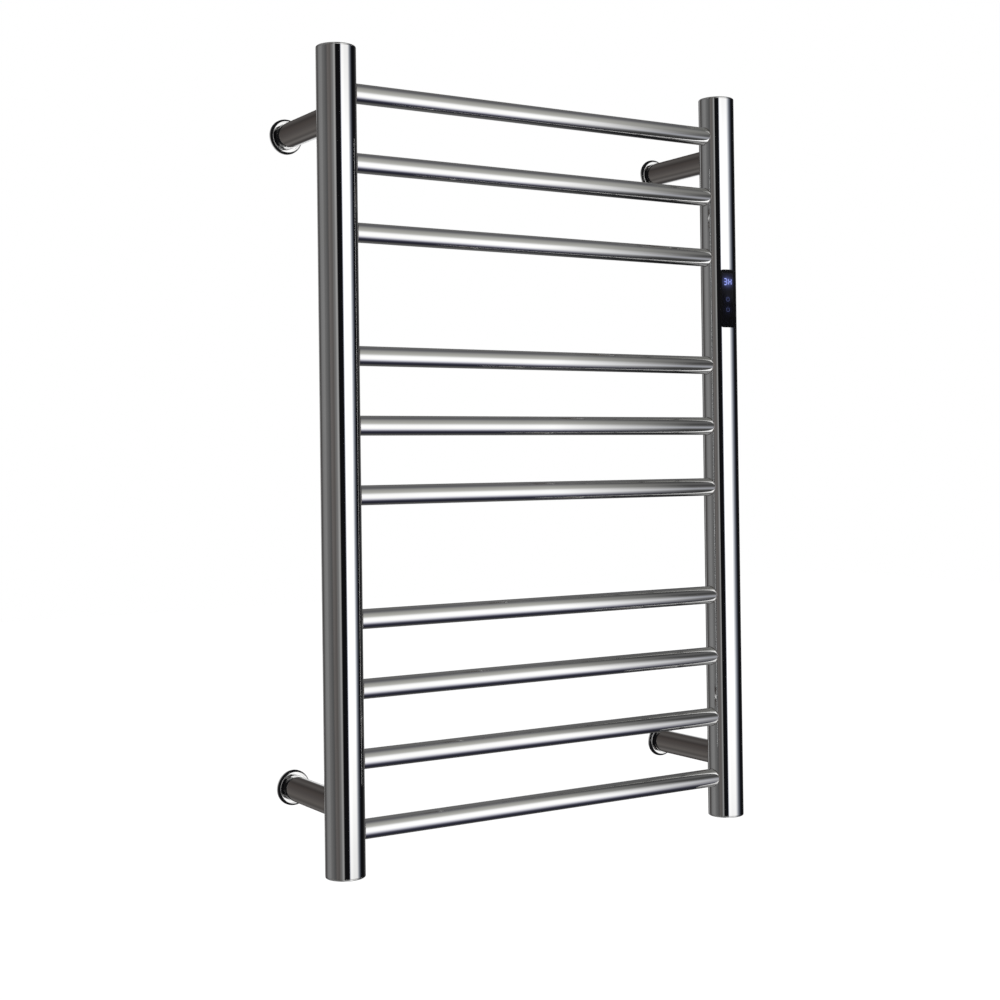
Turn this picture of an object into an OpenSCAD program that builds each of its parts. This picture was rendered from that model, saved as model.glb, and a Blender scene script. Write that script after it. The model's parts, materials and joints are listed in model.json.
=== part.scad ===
// Wall-mounted electric towel warmer rack: two polished tube posts joined by ten heated
// bars, four standoffs to the wall, and a touch control panel set in the right post.
// +Z is up and +Y points into the wall, which is the plane Y = 0. The origin is the
// centre of the four wall fixing holes.

/* [Rack] */
// Overall height of the rack, end caps included
rack_h = 780; // [760:2:840]
// Distance between the axes of the two posts
post_pitch = 462; // [420:2:700]
// Distance from the wall to the axes of the posts and bars
post_reach = 115; // [100:1:140]

/* [Tubes] */
// Outside diameter of the posts
post_d = 38; // [38:0.5:40]
// Wall thickness of the posts
post_wall = 1.5; // [1.2:0.1:1.5]
// Outside diameter of the heated bars
bar_d = 19; // [17:0.5:20]
// Wall thickness of the heated bars
bar_wall = 1.2; // [1:0.1:1.5]
// Outside diameter of the standoff tubes
standoff_d = 25; // [25:0.5:26]
// Wall thickness of the standoff tubes
standoff_wall = 1.5; // [1.2:0.1:1.5]

/* [Bar spacing] */
// Spacing of neighbouring bars inside a group
bar_pitch = 66; // [60:1:67]
// Spacing across the wide gap between two groups
group_gap = 117; // [114:1:125]
// Height of the standoff axes above and below the rack ends
standoff_inset = 65; // [62:1:70]

/* [Wall fixing] */
// Diameter of the fixing screw hole in each wall boss
screw_hole_d = 5.5; // [4.5:0.5:6]
// Diameter of the countersink for the fixing screw
countersink_d = 9.2; // [8.5:0.1:9.2]
// Length of each wall boss
boss_l = 14; // [12:0.5:18]
// Outside diameter of the rosettes
rosette_d = 35; // [34:0.5:38]
// Thickness of the rosettes
rosette_t = 5; // [5:0.5:7]

/* [Control panel] */
// Width of the panel across the flat on the post
panel_w = 21.6; // [21:0.1:21.8]
// Height of the panel
panel_h = 62.8; // [60:0.1:64]
// Height of the panel's centre above the middle of the rack
panel_rise = 170.7; // [168:0.1:176]
// Distance of the flat panel face in front of the post axis
panel_face = 15.4; // [15.2:0.1:15.6]

/* [Heating] */
// Diameter of the heating cable
cable_d = 5; // [4:0.5:6]
// Bend radius of the heating cable inside the posts
cable_bend = 12; // [10:1:14]

/* [Hidden] */
TUBE_FN = 96;
WIRE_FN = 32;
SCREW_FN = 48;

// Steps down the rack from one bar to the next: groups of three, three and four bars
bar_steps = [
    0, bar_pitch, bar_pitch,
    group_gap, bar_pitch, bar_pitch,
    group_gap, bar_pitch, bar_pitch, bar_pitch
];
bar_count = len(bar_steps);

post_x = post_pitch / 2;
post_r = post_d / 2;
post_bore_r = post_r - post_wall;
bar_r = bar_d / 2;
bar_bore_r = bar_r - bar_wall;
standoff_r = standoff_d / 2;
standoff_bore_r = standoff_r - standoff_wall;

// The screw hole lies this far above the standoff axis, and the cable way as far below
hole_rise = 5;
z_top = rack_h / 2 - hole_rise;
z_bottom = -rack_h / 2 - hole_rise;
standoff_top_z = z_top - standoff_inset;
standoff_bottom_z = z_bottom + standoff_inset;

// Welded post caps
cap_t = 2;
cap_edge = 0.6;
spigot_l = 6;
spigot_gap = 0.05;

// Wire holes drilled in the post walls
bar_hole_r = 6;
standoff_hole_r = 5;

// Wall bosses, their grub screws and the cable way
boss_gap = 0.1;
cable_way_r = 4;
countersink_depth = 2.4;
tube_end_gap = 0.3;
grub_r = 1.5;
grub_y = 2.7;
grub_tip = 1.3;
grub_sink = 0.1;
grub_socket_r = 0.75;
grub_socket_depth = 1.2;
grommet_bore_r = 3;
grommet_flange_r = 4.6;
grommet_flange_t = 1;

// Rosettes and the O-rings that grip the standoffs
rosette_gap = 0.25;
rosette_chamfer = 2.2;
rosette_step_r = 14.6;
rosette_step_depth = 0.7;
groove_z = 1.2;
ring_groove_w = 2.2;
ring_groove_depth = 1.3;
ring_gap = 0.06;

// Wires inside the rack
lead_r = 1.8;
lead_bend = 6;
lead_offset = 9.5;
harness_r = 2.8;
harness_bend = 8;
harness_offset = 9.5;
harness_lift = 1.8;
earth_r = 1.1;
earth_bend = 5;
earth_drop = 3.2;
earth_offset = 7;
sleeve_r = 3.6;
sleeve_l = 22;
sleeve_x = post_x - 36;

// Terminal block inside the lower right standoff
block_w = 12;
block_l = 24;
block_h = 11;
block_front = 60;
block_entry = 8;
block_entry_r = 1.5;
block_screw_r = 1.4;
block_screw_depth = 3;

// Earth screw and lug on the lower cap of the right post
earth_screw_r = 2;
earth_head_r = 3.6;
earth_head_t = 2.4;
earth_slot_w = 1;
lug_r = 3.9;
lug_t = 0.8;
lug_tab_w = 4;
lug_z = z_bottom + cap_t + spigot_l;

// Control module, measured from the post axis: +y to the wall, -y to the front
panel_z = z_bottom + rack_h / 2 + panel_rise;
module_z = panel_z - 13.5;
module_l = 95;
tray_gap = 0.3;
tray_r = post_bore_r - tray_gap;
tray_wall = 1.2;
tray_mouth = 11.1;
panel_corner = 3;
panel_gap = 0.1;
bezel_t = 4.1;
lens_w = 16;
lens_h = 57;
lens_t = 1.2;
lens_corner = 1.2;
window_w = 13;
window_h = 53;
gasket_t = 1;
display_board_y = -panel_face + bezel_t + gasket_t;
display_board_t = 1;
display_board_w = 15;
display_board_h = 60;
display_w = 12.4;
display_h = 9.6;
display_t = 3.8;
display_rise = 18.6;
icon_rises = [-0.4, -11.6];
guide_r = 2.5;
guide_t = 3.9;
electrode_r = 4.2;
electrode_bore_r = 3;
electrode_t = 3.8;
display_screw_r = 0.9;
display_screw_rise = 28.4;
display_screw_l = 4.2;
display_head_r = 1.6;
display_head_t = 0.7;
board_w = 26;
board_h = 84;
board_t = 1.6;
board_y = 3;
stud_r = 2.4;
stud_x = -9;
stud_rise = 38;
board_screw_r = 1.2;
board_screw_l = 8;
board_head_r = 2.2;
board_head_t = 1.3;
wire_gap = 0.3;
wire_entry = 8;
relay_size = [10.5, 9, 15.5];
converter_size = [13, 8.5, 17];
terminals_size = [6, 7, 8];
terminals_rise = 29;
fuse_r = 1.9;
fuse_l = 12;
fuse_x = 11;
fuse_y = 8.5;
sensor_r = 2.2;
sensor_rise = 22;
sensor_gap = 0.1;

// Side on which the heating cable turns from each bar to the next
turn_side = [for (i = [0:bar_count - 2]) i % 2 == 0 ? -1 : 1];

// ---- Functions ----

// Height of a bar's axis, numbered from 1 at the top
function steps_to(i) = i == 0 ? 0 : bar_steps[i] + steps_to(i - 1);
end_margin = (rack_h - steps_to(bar_count - 1)) / 2;
function bar_z(number) = z_top - end_margin - steps_to(number - 1);

// ---- Shared shapes ----

// Places children on a post axis, with the local origin at height z
module at_post(side, z = 0) {
    translate([side * post_x, -post_reach, z]) children();
}

// Places children on a standoff axis at the wall, with local +Z pointing out of the wall
module at_standoff(side, z) {
    translate([side * post_x, 0, z]) rotate([90, 0, 0]) children();
}

// Cylinder along X from x = a to x = b
module rod_x(a, b, r, fn = WIRE_FN) {
    translate([a, 0, 0]) rotate([0, 90, 0]) cylinder(h = b - a, r = r, $fn = fn);
}

// Cylinder along Y from y = a to y = b
module rod_y(a, b, r, fn = WIRE_FN) {
    translate([0, a, 0]) rotate([-90, 0, 0]) cylinder(h = b - a, r = r, $fn = fn);
}

// Cylinder along Z from z = a to z = b
module rod_z(a, b, r, fn = WIRE_FN) {
    translate([0, 0, a]) cylinder(h = b - a, r = r, $fn = fn);
}

// Block centred on X and Z, from y = a to y = b
module slab(w, a, b, h) {
    translate([-w / 2, a, -h / 2]) cube([w, b - a, h]);
}

// Upright panel with round corners, from y = a to y = b
module rounded_slab(w, a, b, h, r) {
    for (t = [0, 1]) {
        slab(w - 2 * r * t, a, b, h - 2 * r * (1 - t));
    }
    for (sx = [-1, 1], sz = [-1, 1]) {
        translate([sx * (w / 2 - r), 0, sz * (h / 2 - r)]) rod_y(a, b, r);
    }
}

// Quarter turn of wire from height z on the Z axis to the point (side * bend, z + up * bend)
module wire_turn(side, up, bend, r) {
    mirror([side < 0 ? 1 : 0, 0, 0]) mirror([0, 0, up < 0 ? 1 : 0])
        translate([bend, 0, 0]) rotate([90, 0, 0]) rotate([0, 0, 90])
            rotate_extrude(angle = 90, $fn = TUBE_FN) translate([bend, 0]) circle(r = r, $fn = WIRE_FN);
}

// ---- Posts and caps ----

module post(side) {
    color("silver") difference() {
        at_post(side) rod_z(z_bottom + cap_t, z_top - cap_t, post_r, TUBE_FN);
        at_post(side) rod_z(z_bottom, z_top, post_bore_r, TUBE_FN);
        for (number = [1:bar_count]) {
            at_post(side, bar_z(number)) mirror([side > 0 ? 1 : 0, 0, 0])
                rod_x(0, post_d, bar_hole_r);
        }
        for (z = [standoff_bottom_z, standoff_top_z]) {
            at_post(side, z) rod_y(0, post_d, standoff_hole_r);
        }
        if (side > 0) {
            at_post(side, panel_z)
                rounded_slab(panel_w, -post_d, -panel_face + bezel_t, panel_h, panel_corner);
        }
    }
}

// Welded cap: a disc with a softened rim and a spigot inside the post
module post_cap(side, up) {
    tapped = side > 0 && up < 0;
    color("silver") difference() {
        at_post(side, up > 0 ? z_top : z_bottom) mirror([0, 0, up > 0 ? 1 : 0]) {
            cylinder(h = cap_edge, r1 = post_r - cap_edge, r2 = post_r, $fn = TUBE_FN);
            rod_z(cap_edge, cap_t, post_r, TUBE_FN);
            rod_z(cap_t, cap_t + spigot_l, post_bore_r - spigot_gap, TUBE_FN);
        }
        if (tapped) {
            at_post(side, z_bottom) rod_z(cap_t, cap_t + 2 * spigot_l, earth_screw_r, SCREW_FN);
        }
    }
}

// ---- Bars ----

module bar(number) {
    color("gainsboro") difference() {
        translate([0, -post_reach, bar_z(number)]) difference() {
            rod_x(-post_x, post_x, bar_r, TUBE_FN);
            rod_x(-post_x - 1, post_x + 1, bar_bore_r, TUBE_FN);
        }
        for (side = [-1, 1]) {
            at_post(side) rod_z(z_bottom, z_top, post_r, TUBE_FN);
        }
    }
}

// ---- Standoffs and wall fixing ----

module standoff(side, z) {
    color("silver") difference() {
        at_standoff(side, z) rod_z(tube_end_gap, post_reach, standoff_r, TUBE_FN);
        at_standoff(side, z) rod_z(0, post_reach + 1, standoff_bore_r, TUBE_FN);
        at_post(side) rod_z(z_bottom, z_top, post_r, TUBE_FN);
        at_standoff(side, z) grub_hole(standoff_d);
    }
}

// Radial hole on the underside of a standoff, hidden by the rosette
module grub_hole(depth) {
    translate([0, 0, grub_y]) rotate([90, 0, 0]) cylinder(h = depth, r = grub_r, $fn = SCREW_FN);
}

module wall_boss(side, z) {
    boss_r = standoff_bore_r - boss_gap;
    color("darkgray") at_standoff(side, z) difference() {
        rod_z(0, boss_l, boss_r, TUBE_FN);
        translate([0, hole_rise, -1]) cylinder(h = boss_l + 2, d = screw_hole_d, $fn = SCREW_FN);
        translate([0, hole_rise, boss_l - countersink_depth])
            cylinder(h = countersink_depth, d1 = screw_hole_d, d2 = countersink_d, $fn = SCREW_FN);
        translate([0, -hole_rise, -1]) cylinder(h = boss_l + 2, r = cable_way_r, $fn = SCREW_FN);
        difference() {
            grub_hole(standoff_d);
            rod_z(0, boss_l, boss_r - grub_tip, TUBE_FN);
        }
    }
}

module grub_screws() {
    tip = standoff_bore_r - boss_gap - grub_tip;
    grub_l = standoff_r - grub_sink - tip;
    color("dimgray") for (side = [-1, 1], z = [standoff_bottom_z, standoff_top_z]) {
        at_standoff(side, z) translate([0, -tip, grub_y]) rotate([90, 0, 0]) difference() {
            cylinder(h = grub_l, r = grub_r, $fn = SCREW_FN);
            translate([0, 0, grub_l - grub_socket_depth])
                cylinder(h = grub_socket_depth + 1, r = grub_socket_r, $fn = 6);
        }
    }
}

// Rosette: a chamfered ring with a step around the tube and a groove for its O-ring
module rosette(side, z) {
    bore_r = standoff_r + rosette_gap;
    flat = rosette_t - rosette_chamfer;
    color("silver") at_standoff(side, z) difference() {
        union() {
            rod_z(0, flat, rosette_d / 2, TUBE_FN);
            translate([0, 0, flat])
                cylinder(h = rosette_chamfer, r1 = rosette_d / 2,
                         r2 = rosette_d / 2 - rosette_chamfer, $fn = TUBE_FN);
        }
        rod_z(-1, rosette_t + 1, bore_r, TUBE_FN);
        rod_z(rosette_t - rosette_step_depth, rosette_t + 1, rosette_step_r, TUBE_FN);
        rod_z(groove_z, groove_z + ring_groove_w, bore_r + ring_groove_depth, TUBE_FN);
    }
}

// The O-ring's section, flattened where it grips the tube
module o_ring(side, z) {
    inner_r = standoff_r + ring_gap;
    outer_r = standoff_r + rosette_gap + ring_groove_depth - ring_gap;
    color("black") at_standoff(side, z) difference() {
        rod_z(groove_z + ring_gap, groove_z + ring_groove_w - ring_gap, outer_r, TUBE_FN);
        rod_z(groove_z, groove_z + ring_groove_w, inner_r, TUBE_FN);
    }
}

module cable_grommet() {
    color("black") at_standoff(1, standoff_bottom_z) translate([0, -hole_rise, 0]) difference() {
        union() {
            rod_z(0, boss_l, cable_way_r, SCREW_FN);
            rod_z(boss_l, boss_l + grommet_flange_t, grommet_flange_r, SCREW_FN);
        }
        rod_z(-1, boss_l + grommet_flange_t + 1, grommet_bore_r, SCREW_FN);
    }
}

// ---- Heating cable and leads ----

module heating_cable() {
    r = cable_d / 2;
    inner_x = post_x - cable_bend;
    color("firebrick") {
        for (number = [1:bar_count]) {
            outer_end = number == 1 || number == bar_count ? sleeve_x : inner_x;
            translate([0, -post_reach, bar_z(number)]) rod_x(-inner_x, outer_end, r);
        }
        for (i = [0:bar_count - 2]) {
            side = turn_side[i];
            upper_z = bar_z(i + 1) - cable_bend;
            lower_z = bar_z(i + 2) + cable_bend;
            at_post(side) rod_z(lower_z, upper_z, r);
            at_post(side, upper_z) wire_turn(-side, 1, cable_bend, r);
            at_post(side, lower_z) wire_turn(-side, -1, cable_bend, r);
        }
    }
}

module crimp_sleeves() {
    color("gold") for (number = [1, bar_count]) {
        translate([0, -post_reach, bar_z(number)])
            rod_x(sleeve_x, sleeve_x + sleeve_l, sleeve_r);
    }
}

// Cold lead from a crimp sleeve to the control module; up is the way it runs in the post
module cold_lead(number, up) {
    lead_x = post_x + lead_offset;
    start_z = bar_z(number) + up * lead_bend;
    entry_z = module_z - up * (module_l / 2 - wire_entry);
    color("white") {
        translate([0, -post_reach, bar_z(number)])
            rod_x(sleeve_x + sleeve_l, lead_x - lead_bend, lead_r);
        translate([lead_x, -post_reach, start_z]) wire_turn(-1, -up, lead_bend, lead_r);
        translate([lead_x, -post_reach, 0])
            rod_z(min(start_z, entry_z), max(start_z, entry_z), lead_r);
    }
}

// Sheathed wires from the terminal block up to the control module
module supply_harness() {
    y = harness_offset;
    z = standoff_bottom_z + harness_lift;
    color("dimgray") at_post(1) {
        translate([0, 0, z]) rod_y(y + harness_bend, post_reach - block_front, harness_r);
        translate([0, y, z + harness_bend]) rotate([0, 0, 90])
            wire_turn(1, -1, harness_bend, harness_r);
        translate([0, y, 0])
            rod_z(z + harness_bend, module_z - module_l / 2 + wire_entry, harness_r);
    }
}

module earth_lead() {
    y = earth_offset;
    z = standoff_bottom_z - earth_drop;
    color("limegreen") at_post(1) {
        translate([0, 0, z]) rod_y(y + earth_bend, post_reach - block_front, earth_r);
        translate([0, y, z - earth_bend]) rotate([0, 0, 90])
            wire_turn(1, 1, earth_bend, earth_r);
        translate([0, y, 0]) rod_z(lug_z + lug_t, z - earth_bend, earth_r);
    }
}

module earth_lug() {
    color("tan") at_post(1, lug_z) difference() {
        union() {
            rod_z(0, lug_t, lug_r, SCREW_FN);
            translate([-lug_tab_w / 2, 0, 0]) cube([lug_tab_w, earth_offset + earth_r + 1, lug_t]);
        }
        rod_z(-1, lug_t + 1, earth_screw_r, SCREW_FN);
    }
}

module earth_screw() {
    color("goldenrod") at_post(1) difference() {
        union() {
            rod_z(z_bottom + cap_t, lug_z + lug_t, earth_screw_r, SCREW_FN);
            rod_z(lug_z + lug_t, lug_z + lug_t + earth_head_t, earth_head_r, SCREW_FN);
        }
        translate([-earth_head_r, -earth_slot_w / 2, lug_z + lug_t + earth_head_t / 2])
            cube([2 * earth_head_r, earth_slot_w, earth_head_t]);
    }
}

module terminal_block() {
    way_pitch = block_w / 3;
    color("ivory") translate([post_x, -block_front, standoff_bottom_z]) difference() {
        slab(block_w, 0, block_l, block_h);
        for (way = [-1, 0, 1]) {
            translate([way * way_pitch, 0, -earth_drop])
                rod_y(block_l - block_entry, block_l + 1, block_entry_r);
            translate([way * way_pitch, block_l / 2, 0])
                rod_z(block_h / 2 - block_screw_depth, block_h, block_screw_r);
        }
    }
}

// ---- Control module in the right post ----

// Places children on the right post axis at the centre of the control panel
module at_panel(rise = 0) {
    at_post(1, panel_z + rise) children();
}

module module_tray() {
    lead_hole_r = lead_r + wire_gap;
    color("whitesmoke") at_post(1, module_z) {
        difference() {
            rod_z(-module_l / 2, module_l / 2, tray_r, TUBE_FN);
            rod_z(-module_l / 2 + tray_wall, module_l / 2 - tray_wall, tray_r - tray_wall, TUBE_FN);
            slab(post_d, -post_d, -tray_mouth, module_l + 2);
            translate([lead_offset, 0, 0]) rod_z(-module_l, module_l, lead_hole_r);
            translate([0, harness_offset, 0]) rod_z(-module_l, 0, harness_r + wire_gap);
            translate([0, 0, sensor_rise]) rod_y(0, post_d, sensor_r + wire_gap / 2);
        }
        for (s = [-1, 1]) {
            translate([stud_x, 0, s * stud_rise]) intersection() {
                difference() {
                    rod_y(board_y + board_t, tray_r, stud_r);
                    rod_y(0, board_y + board_screw_l, board_screw_r, SCREW_FN);
                }
                translate([-stud_x, 0, 0]) rod_z(-stud_r, stud_r, tray_r - tray_wall / 2, TUBE_FN);
            }
        }
    }
}

module control_bezel() {
    w = panel_w - 2 * panel_gap;
    h = panel_h - 2 * panel_gap;
    back = -panel_face + bezel_t;
    color("black") at_panel() difference() {
        rounded_slab(w, -panel_face, back, h, panel_corner - panel_gap);
        rounded_slab(lens_w + panel_gap, -panel_face - 1, -panel_face + lens_t,
                     lens_h + panel_gap, lens_corner);
        slab(window_w, -panel_face, back + 1, window_h);
        for (s = [-1, 1]) {
            translate([0, 0, s * display_screw_rise]) rod_y(back - 2.2, back + 1, display_screw_r);
        }
    }
}

module touch_lens() {
    color("#0c0d12") at_panel()
        rounded_slab(lens_w, -panel_face, -panel_face + lens_t, lens_h, lens_corner);
}

module bezel_gasket() {
    front = -panel_face + bezel_t;
    color("#303030") at_panel() difference() {
        slab(display_board_w, front, front + gasket_t, display_board_h);
        slab(window_w, front - 1, front + gasket_t + 1, window_h);
        for (s = [-1, 1]) {
            translate([0, 0, s * display_screw_rise]) rod_y(front - 1, front + 2, display_screw_r);
        }
    }
}

module display_board() {
    back = display_board_y + display_board_t;
    color("darkgreen") at_panel() difference() {
        slab(display_board_w, display_board_y, back, display_board_h);
        for (s = [-1, 1]) {
            translate([0, 0, s * display_screw_rise])
                rod_y(display_board_y - 1, back + 1, display_screw_r);
        }
    }
}

module digit_display() {
    color("#101418") at_panel(display_rise)
        slab(display_w, display_board_y - display_t, display_board_y, display_h);
}

module icon_guides() {
    color("lightsteelblue") for (rise = icon_rises) {
        at_panel(rise) rod_y(display_board_y - guide_t, display_board_y, guide_r);
    }
}

module touch_electrodes() {
    color("gold") for (rise = icon_rises) {
        at_panel(rise) difference() {
            rod_y(display_board_y - electrode_t, display_board_y, electrode_r);
            rod_y(display_board_y - electrode_t - 1, display_board_y + 1, electrode_bore_r);
        }
    }
}

module display_screws() {
    head = display_board_y + display_board_t;
    color("darkgray") for (s = [-1, 1]) {
        at_panel(s * display_screw_rise) {
            rod_y(head - display_screw_l, head, display_screw_r);
            rod_y(head, head + display_head_t, display_head_r);
        }
    }
}

module control_board() {
    color("seagreen") at_post(1, module_z) difference() {
        slab(board_w, board_y, board_y + board_t, board_h);
        for (s = [-1, 1]) {
            translate([stud_x, 0, s * stud_rise]) rod_y(0, post_d, board_screw_r);
        }
    }
}

module board_screws() {
    color("darkgray") at_post(1, module_z) for (s = [-1, 1]) {
        translate([stud_x, 0, s * stud_rise]) {
            rod_y(board_y, board_y + board_screw_l, board_screw_r, SCREW_FN);
            rod_y(board_y - board_head_t, board_y, board_head_r, SCREW_FN);
        }
    }
}

// Block on the front of the control board
module board_part(size, x, rise) {
    at_post(1, module_z + rise) translate([x, 0, 0]) slab(size[0], board_y - size[1], board_y, size[2]);
}

module relay() {
    color("royalblue") board_part(relay_size, -3, -12);
}

module power_converter() {
    color("goldenrod") board_part(converter_size, -2, 12);
}

module element_terminals() {
    color("forestgreen") for (s = [-1, 1]) {
        board_part(terminals_size, 1, s * terminals_rise);
    }
}

module thermal_fuse() {
    color("silver") at_post(1, module_z) translate([fuse_x, fuse_y, 0])
        rod_z(-fuse_l / 2, fuse_l / 2, fuse_r);
}

module temperature_sensor() {
    color("peru") at_post(1, module_z + sensor_rise)
        rod_y(board_y + board_t, post_bore_r - sensor_gap, sensor_r);
}

post(-1);  // left_post
post(1);  // right_post
post_cap(-1, 1);  // left_top_cap
post_cap(-1, -1);  // left_bottom_cap
post_cap(1, 1);  // right_top_cap
post_cap(1, -1);  // right_bottom_cap
bar(1);  // bar_01
bar(2);  // bar_02
bar(3);  // bar_03
bar(4);  // bar_04
bar(5);  // bar_05
bar(6);  // bar_06
bar(7);  // bar_07
bar(8);  // bar_08
bar(9);  // bar_09
bar(10);  // bar_10
standoff(-1, standoff_top_z);  // standoff_upper_left
standoff(1, standoff_top_z);  // standoff_upper_right
standoff(-1, standoff_bottom_z);  // standoff_lower_left
standoff(1, standoff_bottom_z);  // standoff_lower_right
rosette(-1, standoff_top_z);  // rosette_upper_left
rosette(1, standoff_top_z);  // rosette_upper_right
rosette(-1, standoff_bottom_z);  // rosette_lower_left
rosette(1, standoff_bottom_z);  // rosette_lower_right
o_ring(-1, standoff_top_z);  // o_ring_upper_left
o_ring(1, standoff_top_z);  // o_ring_upper_right
o_ring(-1, standoff_bottom_z);  // o_ring_lower_left
o_ring(1, standoff_bottom_z);  // o_ring_lower_right
wall_boss(-1, standoff_top_z);  // wall_boss_upper_left
wall_boss(1, standoff_top_z);  // wall_boss_upper_right
wall_boss(-1, standoff_bottom_z);  // wall_boss_lower_left
wall_boss(1, standoff_bottom_z);  // wall_boss_lower_right
grub_screws();
heating_cable();
crimp_sleeves();
cold_lead(1, -1);  // top_lead
cold_lead(bar_count, 1);  // bottom_lead
supply_harness();
earth_lead();
earth_lug();
earth_screw();
terminal_block();
cable_grommet();
module_tray();
control_bezel();
bezel_gasket();
touch_lens();
display_board();
digit_display();
icon_guides();
touch_electrodes();
display_screws();
control_board();
board_screws();
relay();
power_converter();
element_terminals();
thermal_fuse();
temperature_sensor();
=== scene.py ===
import json
import math

import bmesh
import bpy
from mathutils import Matrix, Vector

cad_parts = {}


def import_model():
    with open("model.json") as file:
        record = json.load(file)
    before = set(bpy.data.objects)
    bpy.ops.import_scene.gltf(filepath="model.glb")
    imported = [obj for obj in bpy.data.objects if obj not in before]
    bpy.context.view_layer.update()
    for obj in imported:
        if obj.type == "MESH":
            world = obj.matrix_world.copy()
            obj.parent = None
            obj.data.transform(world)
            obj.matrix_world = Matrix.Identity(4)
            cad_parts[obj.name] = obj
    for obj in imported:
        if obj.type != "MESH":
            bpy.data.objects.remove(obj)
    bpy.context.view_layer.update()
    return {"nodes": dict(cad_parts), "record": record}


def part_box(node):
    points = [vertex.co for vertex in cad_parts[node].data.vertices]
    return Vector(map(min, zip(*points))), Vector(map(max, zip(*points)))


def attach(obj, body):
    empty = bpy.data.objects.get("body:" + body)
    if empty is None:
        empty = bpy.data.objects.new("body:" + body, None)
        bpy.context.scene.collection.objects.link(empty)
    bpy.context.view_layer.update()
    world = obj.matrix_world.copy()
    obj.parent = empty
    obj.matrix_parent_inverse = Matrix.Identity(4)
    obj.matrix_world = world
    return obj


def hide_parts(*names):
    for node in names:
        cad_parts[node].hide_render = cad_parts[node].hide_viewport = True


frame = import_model()

MM = 0.001
TURN = 2 * math.pi
CORNERS = ("upper_left", "upper_right", "lower_left", "lower_right")
SIDES = ("left", "right")
BARS = ["bar_%02d" % number for number in range(1, 11)]

# Wall thicknesses, gaps and holes that a bounding box can't tell
POST_WALL = 1.5 * MM
BAR_WALL = 1.2 * MM
STANDOFF_WALL = 1.5 * MM
SPIGOT_GAP = 0.05 * MM
ROSETTE_GAP = 0.25 * MM
PANEL_GAP = 0.1 * MM
BAR_HOLE_R = 6 * MM
STANDOFF_HOLE_R = 5 * MM
GRUB_R = 1.5 * MM
GRUB_INSET = 2.4 * MM

# How far from a tube's axis the drill for a hole in its wall starts and ends
POST_DRILL = (12 * MM, 24 * MM)
STANDOFF_DRILL = (8 * MM, 16 * MM)

POST_SEGMENTS = 256
TUBE_SEGMENTS = 128
HOLE_SEGMENTS = 48

TO_WALL = Vector((0, 1, 0))
UP = Vector((0, 0, 1))
INWARD = {"left": Vector((1, 0, 0)), "right": Vector((-1, 0, 0))}

# How far a weld bead's middle line stands off the post
WELD_PROUD = 0.12 * MM


# ---- Places taken from the CAD nodes ----

def middle(node):
    low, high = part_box(node)
    return (low + high) / 2


def size(node):
    low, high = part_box(node)
    return high - low


POST_R = size("left_post").x / 2
BAR_R = size("bar_01").z / 2
STANDOFF_R = size("standoff_upper_left").x / 2
POST = {side: middle(side + "_post") for side in SIDES}
PANEL = middle("control_bezel")
PANEL_FACE_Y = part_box("control_bezel")[0].y


# ---- Mesh helpers ----

def add_object(name, verts, faces):
    mesh = bpy.data.meshes.new(name)
    mesh.from_pydata(verts, [], faces)
    mesh.validate()
    obj = bpy.data.objects.new(name, mesh)
    bpy.context.scene.collection.objects.link(obj)
    return obj


def axes_for(axis):
    """Two unit vectors that, with axis, make a right-handed set."""
    axis = Vector(axis)
    side = UP if abs(axis.z) < 0.5 else Vector((1, 0, 0))
    first = (side - axis * side.dot(axis)).normalized()
    return first, axis.cross(first)


def ring_faces(rings, count, closed):
    """Quads between rings of count points; closed also joins the last ring to the first."""
    faces = []
    for ring in range(rings if closed else rings - 1):
        a = ring * count
        b = (ring + 1) % rings * count
        for i in range(count):
            j = (i + 1) % count
            faces.append((a + i, a + j, b + j, b + i))
    return faces


def ring_mesh(name, rings):
    """A ring-shaped solid whose section runs through all the rings and back to the first."""
    verts = [point for ring in rings for point in ring]
    return add_object(name, verts, ring_faces(len(rings), len(rings[0]), True))


def stack_parts(rings):
    """A closed solid through the rings, with flat ends, as (verts, faces)."""
    count = len(rings[0])
    verts = [point for ring in rings for point in ring]
    faces = ring_faces(len(rings), count, False)
    faces.append(tuple(reversed(range(count))))
    faces.append(tuple(range(len(verts) - count, len(verts))))
    return verts, faces


def circle(centre, axis, radius, segments):
    first, second = axes_for(axis)
    points = []
    for i in range(segments):
        a = TURN * i / segments
        points.append(Vector(centre) + (first * math.cos(a) + second * math.sin(a)) * radius)
    return points


def rod_parts(centre, axis, radius, span, segments=HOLE_SEGMENTS):
    """A closed cylinder as (verts, faces); span is where it starts and ends along the axis."""
    return stack_parts([circle(Vector(centre) + Vector(axis) * along, axis, radius, segments)
                        for along in span])


def rounded_outline(width, height, corner, steps=8):
    """Points round an upright rectangle with round corners, as (x, z) pairs."""
    points = []
    for quarter, (sx, sz) in enumerate(((1, 1), (-1, 1), (-1, -1), (1, -1))):
        cx = sx * (width / 2 - corner)
        cz = sz * (height / 2 - corner)
        for i in range(steps + 1):
            a = TURN / 4 * (quarter + i / steps)
            points.append((cx + corner * math.cos(a), cz + corner * math.sin(a)))
    return points


def outline_ring(centre, outline, y):
    return [Vector((centre.x + x, y, centre.z + z)) for x, z in outline]


def slab_parts(centre, outline, front_y, back_y):
    """A closed prism as (verts, faces): outline about centre, from front_y to back_y."""
    return stack_parts([outline_ring(centre, outline, y) for y in (front_y, back_y)])


def join_parts(name, parts):
    verts = []
    faces = []
    for part_verts, part_faces in parts:
        base = len(verts)
        verts += part_verts
        faces += [tuple(base + i for i in face) for face in part_faces]
    return add_object(name, verts, faces)


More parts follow.
